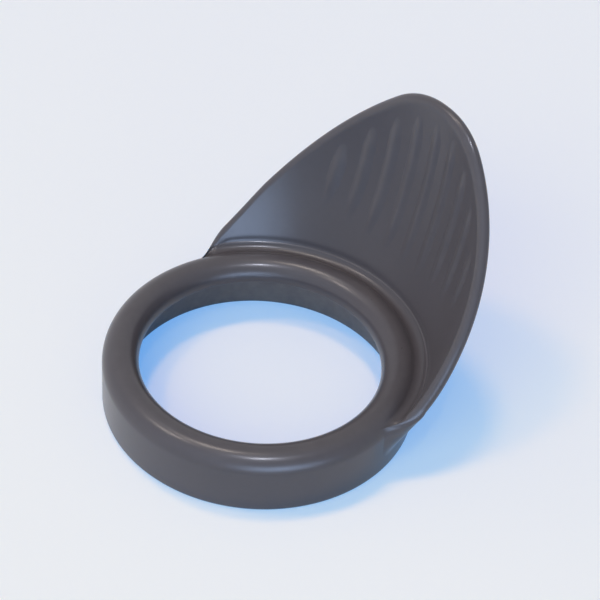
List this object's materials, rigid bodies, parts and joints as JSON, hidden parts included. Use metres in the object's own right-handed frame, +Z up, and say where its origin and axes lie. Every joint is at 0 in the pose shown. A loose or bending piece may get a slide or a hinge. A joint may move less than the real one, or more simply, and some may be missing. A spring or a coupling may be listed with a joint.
{
  "type": "winged eyepiece eyecup",
  "caption": "Soft rubber eyecup with a collar that grips an eyepiece, a rounded eye lip and a tall cupped side wing that shades the eye and folds outwards.",
  "frame": {"origin": "centre of the seat bore's mouth, on the collar's bottom face", "axes": "+Z up along the bore towards the eye, +Y towards the wing, X across the wing"},
  "size_m": [0.0404, 0.0451, 0.0335],
  "materials": {
    "rubber": "satin"
  },
  "bodies": {
    "cup": {"collar": "rubber", "eye_lip": "rubber", "wing_root": "rubber"},
    "wing": {"wing_blade": "rubber", "wing_ribs": "rubber"}
  },
  "joints": [
    {"name": "wing_fold", "type": "hinge", "parent": "cup", "child": "wing", "pos_m": [0, 0.02132, 0.0074], "axis": [-1, 0, 0], "range_deg": [0, 60], "stiffness_Nm_per_rad": 0.012}
  ]
}
